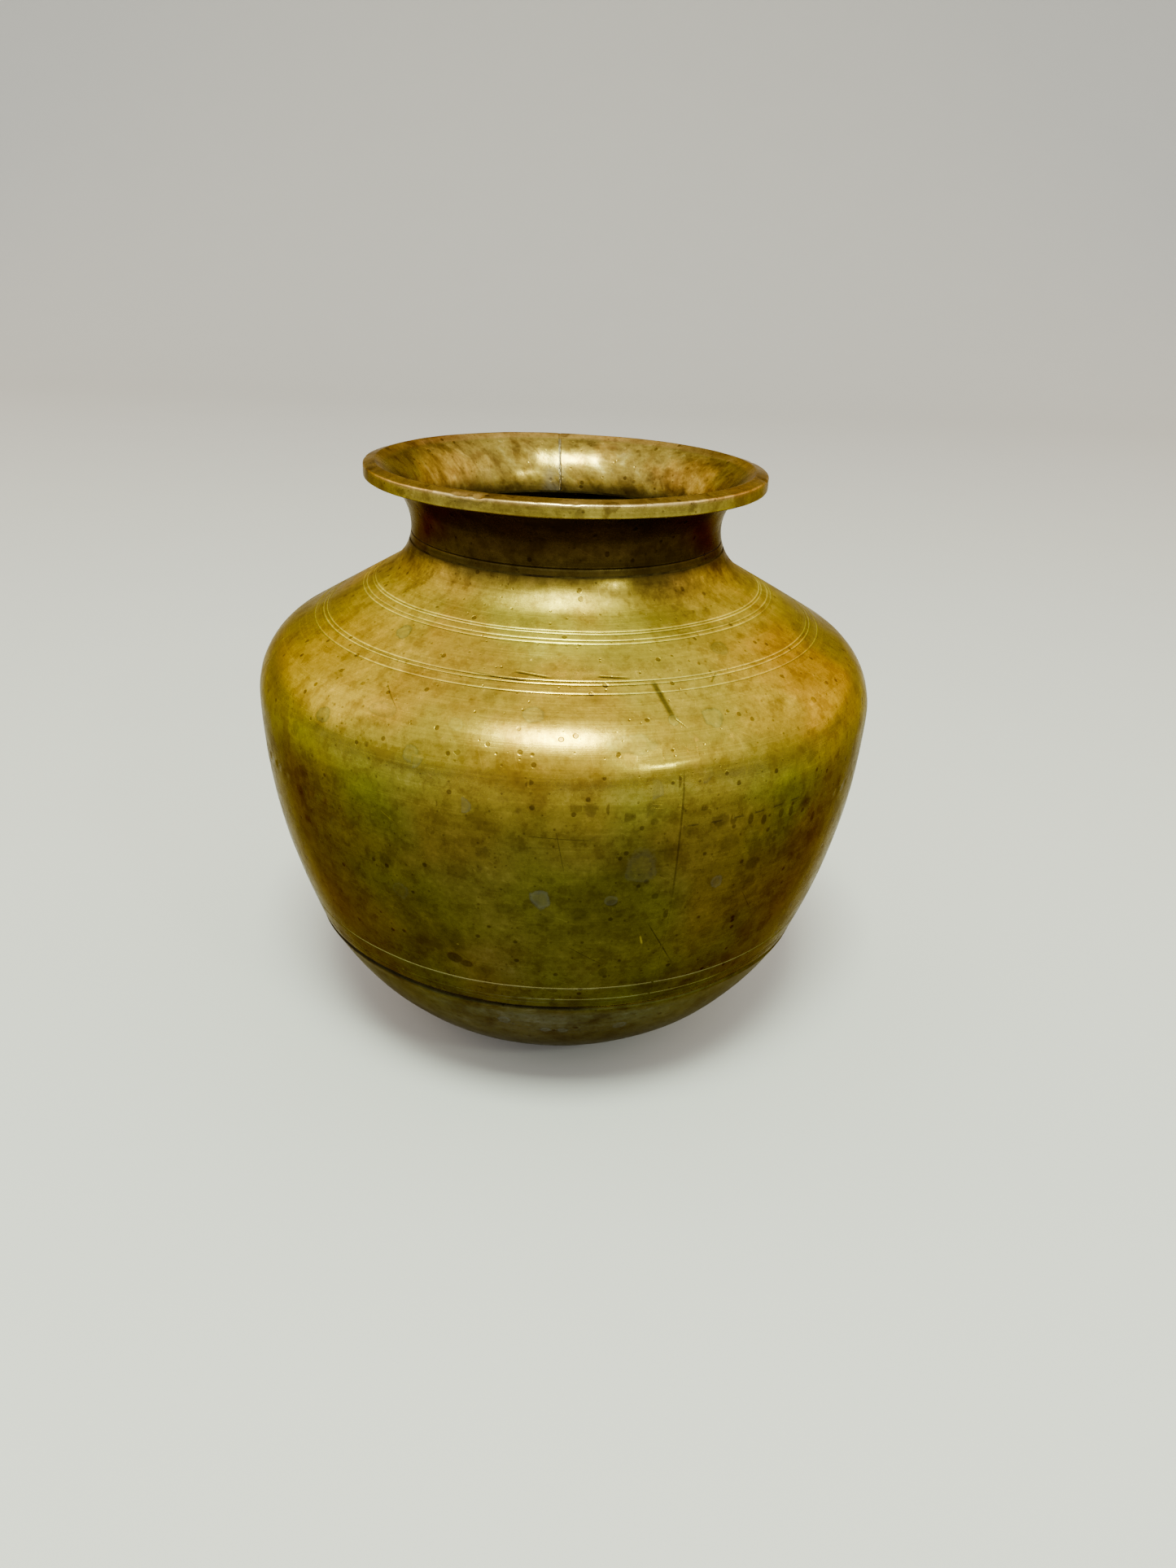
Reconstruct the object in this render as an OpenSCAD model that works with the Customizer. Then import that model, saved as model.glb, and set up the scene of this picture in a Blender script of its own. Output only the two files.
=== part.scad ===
// Lota: a round brass water pot raised and wrapped from sheet, in four pieces that are brazed together.
// The pot stands on the XY plane, centred on the Z axis. Its front faces -Y.

/* [Body] */
// Widest diameter of the belly
belly_d = 140; // [132:1:150]
// Radius of the belly's upright curve
belly_r = 140; // [120:5:170]
// Radius of the bowl's curve under the belly
bowl_r = 60; // [54:1:66]
// Lean of the wall where the belly runs into the bowl, in degrees
bowl_turn = 20.9; // [18:0.1:23]
// Lean of the wall where the bowl meets the flat it stands on, in degrees
flat_turn = 73; // [70:0.5:76]
// Thickness of the sheet
wall = 1.9; // [1.6:0.1:2.2]

/* [Shoulder and neck] */
// Radius of the turn from belly to shoulder
shoulder_r = 16; // [14:0.5:18]
// Lean of the shoulder's straight slope, in degrees from upright
shoulder_turn = 60; // [58:0.5:62]
// Narrowest outside diameter of the neck
neck_d = 69; // [66:0.5:72]
// Radius of the hollow curve of the neck
neck_r = 12; // [11:0.5:13]
// Lean of the neck where it runs out into the lip, in degrees
flare_turn = 55; // [50:1:58]

/* [Lip] */
// Outside diameter of the lip
lip_d = 88.2; // [86:0.2:92]
// Height of the lip's upright outer face
lip_h = 2.9; // [2.4:0.1:3.4]
// Width of the lip's top face
lip_w = 2.8; // [2.4:0.1:3.2]
// Rise of the lip's top face from its outer to its inner edge
lip_rise = 0.75; // [0.5:0.05:1]
// Chamfer on the lip's two outer edges
lip_chamfer = 0.3; // [0.2:0.05:0.4]

/* [Brazed joints] */
// Thickness of the brazing metal between two edges
braze = 0.4; // [0.3:0.05:0.5]
// Height of the base joint's outside line
base_joint_z = 33.4; // [30:0.2:35]
// How far one edge laps behind the other at the base and the neck
lap = 4; // [3:0.2:4.6]
// Height of the middle of the toothed girth joint
girth_z = 86; // [84:0.5:88]
// Height from the roots to the tips of the girth joint's teeth
tooth_h = 12; // [8:0.5:13]
// Number of teeth on each edge of the girth joint
tooth_count = 86; // [72:2:96]
// Height of the neck joint's outside line below the narrowest point of the neck
neck_joint_drop = 3.3; // [3:0.1:4]
// Width of the belly's upright seam
belly_seam_w = 0.5; // [0.4:0.05:0.8]
// Width of the neck's upright seam
neck_seam_w = 0.8; // [0.6:0.1:1]
// Direction of the belly's seam, in degrees from +X
belly_seam_angle = -71; // [-80:1:-50]
// Direction of the neck's seam, in degrees from +X
neck_seam_angle = 93; // [80:1:100]
// How far the neck seam's bead stands into the mouth
bead = 0.35; // [0.2:0.05:0.5]

/* [Engraved lines] */
// Width of an engraved line
line_w = 0.5; // [0.4:0.05:0.6]
// Depth of an engraved line
line_deep = 0.25; // [0.15:0.05:0.3]
// Slope distance from the shoulder's turn to the outer band of lines
outer_band = 5.8; // [5:0.1:6.4]
// Lines of the outer band, as distances up the slope from its first line
outer_band_lines = [0, 2.2, 3.1];
// Slope distance from the shoulder's turn to the inner band of lines
inner_band = 18.4; // [17:0.1:18.6]
// Lines of the inner band, as distances up the slope from its first line
inner_band_lines = [0, 0.95, 2.55, 3.2];
// Height of the single line low on the belly
low_line_z = 40.2; // [39.5:0.1:44]
// Height of the neck's line above the neck joint
neck_line_rise = 1.5; // [1.2:0.1:1.8]

/* [Hidden] */
$fn = 96;
past = 1;

// Leans at which the outline has points: every 2.5 degrees on the wide curves, coarser on the tight ones
body_stops = concat([for (i = [-30:0]) i * 2.5], [for (i = [1:10]) i * 6]);
neck_stops = [for (i = [-12:12]) i * 5];
least_turn = 0.3;

// Centres of the outline's curves, as [radius, height]. The bowl's is found from the lean at the flat,
// and each next one from the point where two curves share a normal.
belly_z = bowl_r * sin(flat_turn) + (belly_r - bowl_r) * sin(bowl_turn);
belly_c = [belly_d / 2 - belly_r, belly_z];
bowl_c = belly_c + (belly_r - bowl_r) * [cos(bowl_turn), -sin(bowl_turn)];
shoulder_c = [belly_d / 2 - shoulder_r, belly_z];
slope_start = shoulder_c + shoulder_r * [cos(shoulder_turn), sin(shoulder_turn)];
slope_dir = [-sin(shoulder_turn), cos(shoulder_turn)];
neck_x = neck_d / 2 + neck_r;
slope_len = (slope_start[0] - neck_x + neck_r * cos(shoulder_turn)) / sin(shoulder_turn);
neck_z = slope_start[1] + slope_len * cos(shoulder_turn) + neck_r * sin(shoulder_turn);
neck_c = [neck_x, neck_z];
lip_z = neck_z + neck_r * sin(flare_turn);
lip_top = lip_z + lip_h;

// Corners of the lip, from its underside round to its inner edge
lip_points = [
    [lip_d / 2 - lip_chamfer, lip_z], [lip_d / 2, lip_z + lip_chamfer],
    [lip_d / 2, lip_top - lip_chamfer], [lip_d / 2 - lip_chamfer, lip_top],
    [lip_d / 2 - lip_w, lip_top + lip_rise]
];

// Sheet that is left on each side of the brazing metal in a lap
outer_half = (wall - braze) / 2;
inner_half = (wall + braze) / 2;

// Joint places, as the wall's lean there, and the lean that the brazing metal takes up
base_joint_a = asin((base_joint_z - bowl_c[1]) / bowl_r);
base_lap_a = base_joint_a + lap / bowl_r * 180 / PI;
bowl_gap_a = braze / bowl_r * 180 / PI;
tooth_low_a = body_lean(girth_z - tooth_h / 2);
tooth_high_a = body_lean(girth_z + tooth_h / 2);
belly_gap_a = braze / belly_r * 180 / PI;
shoulder_gap_a = braze / shoulder_r * 180 / PI;
neck_joint_a = asin(neck_joint_drop / neck_r);
neck_lap_a = neck_joint_a - lap / neck_r * 180 / PI;
neck_gap_a = braze / neck_r * 180 / PI;
neck_line_a = asin((neck_joint_drop - neck_line_rise) / neck_r);
low_line_a = body_lean(low_line_z);

// Half of the angle around the axis from one tooth to the next, and of a tooth without and with its braze
half_pitch = 180 / tooth_count;
half_tooth = (half_pitch - braze / belly_d * 360 / PI) / 2;
half_notch = half_pitch - half_tooth;

// Lean of the belly's or shoulder's outer surface at a height
function body_lean(z) = asin((z - belly_z) / (z < belly_z ? belly_r : shoulder_r));

// A point at depth d below the outer surface, where the body's wall leans by a
function body_point(a, d) =
    a < -bowl_turn ? bowl_c + (bowl_r - d) * [cos(a), sin(a)]
    : a < 0 ? belly_c + (belly_r - d) * [cos(a), sin(a)]
    : shoulder_c + (shoulder_r - d) * [cos(a), sin(a)];

// The same on the neck, whose curve is hollow on the outside
function neck_point(a, d) = neck_c - (neck_r + d) * [cos(a), sin(a)];

// Leans from one to another: both ends, and between them the stops that neighbouring pieces share
function leans(stops, from, to) =
    let (between = [for (a = stops) if (a > min(from, to) + least_turn && a < max(from, to) - least_turn) a])
    concat(from, from < to ? between : [for (i = [len(between) - 1:-1:0]) between[i]], to);
function body_run(from, to, d) = [for (a = leans(body_stops, from, to)) body_point(a, d)];
function neck_run(from, to, d) = [for (a = leans(neck_stops, from, to)) neck_point(a, d)];

// Section of an engraved line, cut square to the wall at a point of the outer surface
module line_section(point, lean) {
    translate(point)
        rotate(lean)
            polygon([[past, -line_w], [past, line_w], [0, line_w / 2], [-line_deep, 0], [0, -line_w / 2]]);
}

module slope_line(distance) {
    line_section(slope_start + distance * slope_dir, shoulder_turn);
}

// Wall between two leans, cut into one wedge for each tooth. The belly's teeth are centred on turn 0,
// where its seam is, and the shoulder's on turn 1, half a pitch further round.
module tooth_wedges(low, high, turn, half_angle) {
    inside = belly_d / 2 - 4 * wall;
    outside = belly_d / 2 + 2 * past;
    intersection() {
        rotate_extrude()
            polygon(concat(body_run(low, high, -past), body_run(high, low, wall + past)));
        linear_extrude(slope_start[1] + past)
            for (i = [0:tooth_count - 1])
                rotate(belly_seam_angle + (2 * i + turn) * half_pitch)
                    polygon([
                        inside * [cos(half_angle), -sin(half_angle)], outside * [cos(half_angle), -sin(half_angle)],
                        outside * [cos(half_angle), sin(half_angle)], inside * [cos(half_angle), sin(half_angle)]
                    ]);
    }
}

// Upright slice through the wall, in the direction of a seam
module seam_slice(angle, width) {
    rotate(angle)
        translate([0, -width / 2, -past])
            cube([belly_d, width, lip_top + 2 * past]);
}

// Neck and lip: one strip wrapped round, with its foot lapped over the shoulder's upturned edge
module neck_collar() {
    color("#b58d3f")
        difference() {
            rotate_extrude()
                difference() {
                    polygon(concat(
                        neck_run(neck_joint_a, -flare_turn, 0),
                        lip_points,
                        neck_run(-flare_turn, neck_lap_a, wall),
                        neck_run(neck_lap_a, neck_joint_a, outer_half)
                    ));
                    line_section(neck_point(neck_line_a, 0), neck_line_a);
                }
            seam_slice(neck_seam_angle, neck_seam_w);
        }
}
// Seam that closes the neck strip, with a bead standing inside the mouth
module neck_seam_braze() {
    color("#7b5f2c")
        intersection() {
            rotate_extrude()
                polygon(concat(
                    neck_run(neck_joint_a, -flare_turn, 0),
                    lip_points,
                    neck_run(-flare_turn, neck_lap_a, wall + bead),
                    neck_run(neck_lap_a, neck_joint_a, outer_half)
                ));
            seam_slice(neck_seam_angle, neck_seam_w);
        }
}

// Ring of brazing metal in the lap between neck and shoulder
module neck_joint_braze() {
    color("#6f5526")
        rotate_extrude()
            polygon(concat(
                neck_run(neck_joint_a + neck_gap_a, neck_joint_a, 0),
                neck_run(neck_joint_a, neck_lap_a, outer_half),
                neck_run(neck_lap_a, neck_lap_a + neck_gap_a, wall),
                neck_run(neck_lap_a + neck_gap_a, neck_joint_a + neck_gap_a, inner_half)
            ));
}

// Shoulder: raised from a disc, with a toothed lower edge and an upturned edge under the neck
module shoulder_shell() {
    color("#a5752c")
        difference() {
            rotate_extrude()
                difference() {
                    polygon(concat(
                        body_run(tooth_low_a + belly_gap_a, shoulder_turn, 0),
                        neck_run(shoulder_turn, neck_joint_a + neck_gap_a, 0),
                        neck_run(neck_joint_a + neck_gap_a, neck_lap_a + neck_gap_a, inner_half),
                        neck_run(neck_lap_a + neck_gap_a, shoulder_turn, wall),
                        body_run(shoulder_turn, tooth_low_a + belly_gap_a, wall)
                    ));
                    for (d = outer_band_lines)
                        slope_line(outer_band + d);
                    for (d = inner_band_lines)
                        slope_line(inner_band + d);
                }
            tooth_wedges(tooth_low_a - past, tooth_high_a, 0, half_notch);
        }
}

// Brazing metal that winds between the teeth of shoulder and belly
module girth_braze() {
    color("#8a7a3a")
        difference() {
            rotate_extrude()
                polygon(concat(
                    body_run(tooth_low_a, tooth_high_a, 0),
                    body_run(tooth_high_a, tooth_low_a, wall)
                ));
            tooth_wedges(tooth_low_a - past, tooth_high_a - shoulder_gap_a, 0, half_tooth);
            tooth_wedges(tooth_low_a + belly_gap_a, tooth_high_a + past, 1, half_tooth);
        }
}

// Belly: one wrapped band, toothed above and lapped outside the base dish below
module belly_shell() {
    color("#6f641f")
        difference() {
            rotate_extrude()
                difference() {
                    polygon(concat(
                        body_run(base_joint_a + bowl_gap_a, tooth_high_a - shoulder_gap_a, 0),
                        body_run(tooth_high_a - shoulder_gap_a, base_lap_a + bowl_gap_a, wall),
                        body_run(base_lap_a + bowl_gap_a, base_joint_a + bowl_gap_a, outer_half)
                    ));
                    line_section(body_point(low_line_a, 0), low_line_a);
                }
            tooth_wedges(tooth_low_a, tooth_high_a + past, 1, half_notch);
            seam_slice(belly_seam_angle, belly_seam_w);
        }
}
// Seam that closes the belly band, from the base joint up to the tip of a tooth
module belly_seam_braze() {
    color("#8c7c4a")
        intersection() {
            rotate_extrude()
                polygon(concat(
                    body_run(base_joint_a + bowl_gap_a, tooth_high_a - shoulder_gap_a, 0),
                    body_run(tooth_high_a - shoulder_gap_a, base_lap_a + bowl_gap_a, wall),
                    body_run(base_lap_a + bowl_gap_a, base_joint_a + bowl_gap_a, outer_half)
                ));
            seam_slice(belly_seam_angle, belly_seam_w);
        }
}

// Ring of brazing metal in the lap between belly and base dish
module base_braze() {
    color("#4c4418")
        rotate_extrude()
            polygon(concat(
                body_run(base_joint_a, base_joint_a + bowl_gap_a, 0),
                body_run(base_joint_a + bowl_gap_a, base_lap_a + bowl_gap_a, outer_half),
                body_run(base_lap_a + bowl_gap_a, base_lap_a, wall),
                body_run(base_lap_a, base_joint_a, inner_half)
            ));
}

// Base dish: raised from a disc, flat where it stands, its edge lapped inside the belly
module base_dish() {
    floor_z = body_point(-flat_turn, wall)[1];
    color("#6a6a44")
        rotate_extrude()
            polygon(concat(
                [[0, 0]],
                body_run(-flat_turn, base_joint_a, 0),
                body_run(base_joint_a, base_lap_a, inner_half),
                body_run(base_lap_a, -flat_turn, wall),
                [[0, floor_z]]
            ));
}

neck_collar();
neck_seam_braze();
neck_joint_braze();
shoulder_shell();
girth_braze();
belly_shell();
belly_seam_braze();
base_braze();
base_dish();
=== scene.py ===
import math

import bmesh
import bpy
import numpy as np
from mathutils import Matrix, Vector


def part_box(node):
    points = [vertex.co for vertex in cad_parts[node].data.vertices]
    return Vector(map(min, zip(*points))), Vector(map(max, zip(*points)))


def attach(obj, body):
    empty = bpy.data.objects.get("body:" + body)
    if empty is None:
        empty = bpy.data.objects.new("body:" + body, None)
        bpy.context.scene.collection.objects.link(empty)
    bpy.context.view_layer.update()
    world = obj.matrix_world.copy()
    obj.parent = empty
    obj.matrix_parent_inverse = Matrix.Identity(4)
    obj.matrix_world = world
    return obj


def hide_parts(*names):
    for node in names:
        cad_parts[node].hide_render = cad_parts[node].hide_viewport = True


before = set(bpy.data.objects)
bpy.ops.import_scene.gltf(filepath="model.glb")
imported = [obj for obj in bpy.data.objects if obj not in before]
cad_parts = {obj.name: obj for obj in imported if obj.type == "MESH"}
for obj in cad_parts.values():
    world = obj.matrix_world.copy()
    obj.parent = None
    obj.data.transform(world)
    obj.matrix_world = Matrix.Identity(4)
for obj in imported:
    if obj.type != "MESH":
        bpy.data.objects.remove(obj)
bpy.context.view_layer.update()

# ---- Base dish -------------------------------------------------------------------------------------
# The bottom of the pot: a disc of sheet brass raised over a stake into a shallow bowl, flat where it
# stands. Its upper edge is set inwards by half the sheet, so that the belly band laps over it.
# Sizes are in mm and made metres by MM. Directions are in degrees round the axis, and -90 is the front.
MM = 0.001
WALL = 1.9
BRAZE = 0.4
BASE_JOINT_Z = 33.4
LAP = 4.0

# The pot's outside as a walk from the middle of the flat to the inner edge of the lip: each stretch is
# its length and the angle that the wall's outward lean turns through on the way.
BOWL_R, BELLY_R, SHOULDER_R, NECK_R = 60.0, 140.0, 16.0, 12.0
FLAT_TURN, BOWL_TURN, SHOULDER_TURN, FLARE_TURN = 73.0, 20.9, 60.0, 55.0
FLAT_R = 22.28
SLOPE = 24.83
CORNER = 0.45


def bend(radius, turn):
    """An arc as a stretch of the walk: its length, and the turn in degrees, positive if it bulges."""
    return abs(radius * math.radians(turn)), turn


STRETCHES = {
    "flat": (FLAT_R - 0.3, 0),
    "heel": (0.3, 90 - FLAT_TURN),
    "bowl": bend(BOWL_R, FLAT_TURN - BOWL_TURN),
    "belly": bend(BELLY_R, BOWL_TURN),
    "shoulder": bend(SHOULDER_R, SHOULDER_TURN),
    "slope": (SLOPE, 0),
    "neck": bend(NECK_R, -SHOULDER_TURN - FLARE_TURN),
    "lip_root": bend(0.5, FLARE_TURN - 90),
    "lip_under": (3.75, 0),
    "lip_low_edge": bend(CORNER, 90),
    "lip_face": (2.0, 0),
    "lip_high_edge": bend(CORNER, 75),
    "lip_top": (2.1, 0),
    "lip_inner_edge": bend(CORNER, 52),
}
walked = np.concatenate([[0.0], np.cumsum([length for length, _ in STRETCHES.values()])])
leaned = np.concatenate([[-90.0], -90.0 + np.cumsum([turn for _, turn in STRETCHES.values()])])
STARTS = dict(zip(STRETCHES, walked))
step_way = np.arange(0, walked[-1], 0.01)
step_lean = np.radians(np.interp(step_way, walked, leaned))
step_r = np.concatenate([[0], np.cumsum(-np.sin(step_lean[:-1]) * 0.01)])
step_z = np.concatenate([[0], np.cumsum(np.cos(step_lean[:-1]) * 0.01)])
belly_start = np.searchsorted(step_way, STARTS["lip_root"])


def way_at(height):
    """How far along the walk the outside reaches a height; below the lip the height only grows."""
    return float(np.interp(height, step_z[:belly_start], step_way[:belly_start]))


def wall_point(way, depth):
    """Radius, height and outward normal of the point that lies a depth under the outside, at a
    distance along the walk: the outside point less depth times its normal."""
    lean = np.radians(np.interp(way, walked, leaned))
    normal_r, normal_z = np.cos(lean), np.sin(lean)
    radius = np.interp(way, step_way, step_r) - depth * normal_r
    height = np.interp(way, step_way, step_z) - depth * normal_z
    return radius, height, normal_r, normal_z


def waves(x, y, z, length, count, seed):
    """Even random unevenness: a sum of plane waves of about one length in seeded directions."""
    rng = np.random.default_rng(seed)
    total = np.zeros(np.broadcast(x, y, z).shape)
    for _ in range(count):
        way = rng.normal(size=3)
        way *= 2 * math.pi / (length * rng.uniform(0.7, 1.4) * np.linalg.norm(way))
        total += np.cos(way[0] * x + way[1] * y + way[2] * z + rng.uniform(0, 2 * math.pi))
    return total / math.sqrt(count / 2)


def bump_at(azimuth, way, where, half_width, half_height):
    """A smooth hill of height 1 centred on a direction and a height, given in degrees and mm."""
    across = (azimuth - where[0] + 180) % 360 - 180
    along = way - way_at(where[1])
    return np.exp(-((across / half_width) ** 2) - (along / half_height) ** 2)


# Dents: the direction and height of the middle, the depth, and the half width in degrees and half height
DENTS = [
    ((-52, 92), 0.25, 9, 5), ((-100, 88), 0.18, 7, 6), ((20, 74), 0.30, 8, 9), ((140, 60), 0.35, 9, 8),
    ((75, 95), 0.25, 7, 4),
]


def hand_work(azimuth, way, radius, height):
    """How far the finished wall stands off a true turned shape, in mm along its normal: a slight
    out-of-round, the planishing hammer's soft facets, and the pot's own dents."""
    x = radius * np.cos(np.radians(azimuth))
    y = radius * np.sin(np.radians(azimuth))
    off = 0.10 * np.cos(np.radians(2 * azimuth + 40)) + 0.06 * np.cos(np.radians(3 * azimuth - 15))
    off = off + 0.035 * waves(x, y, height, 24, 30, 5) + 0.010 * waves(x, y, height, 9, 40, 6)
    # the shelf where the shoulder was worked down over the joint, right of the front
    right = (azimuth + 70 + 180) % 360 - 180
    rise = way - way_at(94.2) - 0.16 * right
    off = off - 0.42 * np.exp(-((right / 9) ** 2)) * np.tanh(rise / 1.1) * np.exp(-((rise / 5) ** 2))
    for where, deep, half_width, half_height in DENTS:
        off = off - deep * bump_at(azimuth, way, where, half_width, half_height)
    return off


def sway(height):
    """The neck was set on a little to the left: the sideways shift grows over the slope."""
    rise = np.clip((height - 104) / 28, 0, 1)
    return -1.3 * rise * rise * (3 - 2 * rise)


def turned(name, way, depth, azimuth, closed=True, grime=None, extra=None):
    """Carries a closed section round the pot's axis. way and depth give the section as a loop of
    points, one row each, and may differ from column to column; azimuth gives the columns in degrees.
    A section that doesn't close on itself round the axis gets a flat face at each end. Points that
    meet on the axis are joined. Two attributes are kept for the finish: inside is the depth in walls,
    and the other marks how much a point is darkened or brightened: 1 for packed dirt and for painted shade,
    -1 for rubbed metal and for painted glints."""
    way = np.broadcast_to(way, (len(way), len(azimuth)))
    depth = np.broadcast_to(depth, way.shape)
    around = np.broadcast_to(azimuth, way.shape)
    radius, height, normal_r, normal_z = wall_point(way, depth)
    off = hand_work(around, way, radius, height)
    if extra is not None:
        off = off + extra(around, way, depth)
    off = off * np.clip(radius / 20, 0, 1) * np.clip(height / 6, 0, 1)
    radius = np.maximum(radius + off * normal_r, 0)
    height = np.maximum(height + off * normal_z, 0)
    x = radius * np.cos(np.radians(around)) + sway(height)
    y = radius * np.sin(np.radians(around))
    rows, columns = way.shape
    index = np.arange(rows * columns).reshape(rows, columns)
    across = np.roll(index, -1, 1) if closed else index[:, 1:]
    here = index if closed else index[:, :-1]
    faces = np.stack([here, across, np.roll(across, -1, 0), np.roll(here, -1, 0)], -1).reshape(-1, 4)
    face_list = faces.tolist()
    if not closed:
        face_list += [index[:, 0].tolist(), index[::-1, -1].tolist()]
    mesh = bpy.data.meshes.new(name)
    mesh.from_pydata((np.stack([x, y, height], -1).reshape(-1, 3) * MM).tolist(), [], face_list)
    darkening = 0 if grime is None else grime(around, way, depth)
    for label, values in (("grime", darkening), ("inside", depth / WALL)):
        store = mesh.attributes.new(label, "FLOAT", "POINT")
        store.data.foreach_set("value", np.broadcast_to(values, way.shape).astype(np.float32).ravel())
    solid = bmesh.new()
    solid.from_mesh(mesh)
    bmesh.ops.remove_doubles(solid, verts=solid.verts, dist=1e-7)
    bmesh.ops.recalc_face_normals(solid, faces=solid.faces)
    solid.to_mesh(mesh)
    solid.free()
    mesh.shade_smooth()
    mesh.set_sharp_from_angle(angle=math.radians(38))
    piece = bpy.data.objects.new(name, mesh)
    bpy.context.scene.collection.objects.link(piece)
    return piece


def column(*runs):
    """Joins the runs of a section into one loop, as two columns of points: way and depth."""
    ways = [np.atleast_1d(np.asarray(run[0], float)) for run in runs]
    depths = [np.broadcast_to(np.asarray(run[1], float), way.shape) for run, way in zip(runs, ways)]
    return np.concatenate(ways)[:, None], np.concatenate(depths)[:, None]


class Wire:
    """A value in a material's node tree. Sums, differences, products and powers of wires add Math
    nodes, and the other operand may be a plain number."""

    def __init__(self, finish, socket):
        self.finish, self.socket = finish, socket

    def math(self, operation, other=None, swap=False):
        """One Math node on this value, and on the other if there is one, in swapped order if asked."""
        pair = [other, self] if swap else [self, other]
        operands = [value for value in pair if value is not None]
        return self.finish.node("ShaderNodeMath", {"operation": operation}, operands)

    def __add__(self, other):
        return self.math("ADD", other)

    def __sub__(self, other):
        return self.math("SUBTRACT", other)

    def __rsub__(self, other):
        return self.math("SUBTRACT", other, swap=True)

    def __mul__(self, other):
        return self.math("MULTIPLY", other)

    def __pow__(self, other):
        return self.math("POWER", other)

    __radd__ = __add__
    __rmul__ = __mul__

    def above(self, low, high):
        """0 under the low value, 1 over the high one, and a smooth rise between; high may be lower."""
        settings = {"interpolation_type": "SMOOTHSTEP"}
        if low < high:
            return self.finish.node("ShaderNodeMapRange", settings, [self, low, high, 0.0, 1.0])
        return self.finish.node("ShaderNodeMapRange", settings, [self, high, low, 1.0, 0.0])

    def or_else(self, other):
        """Where either mark is: the larger of two values."""
        return self.math("MAXIMUM", other)


EDGE_TINT = (0.50, 0.42, 0.26)


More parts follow.
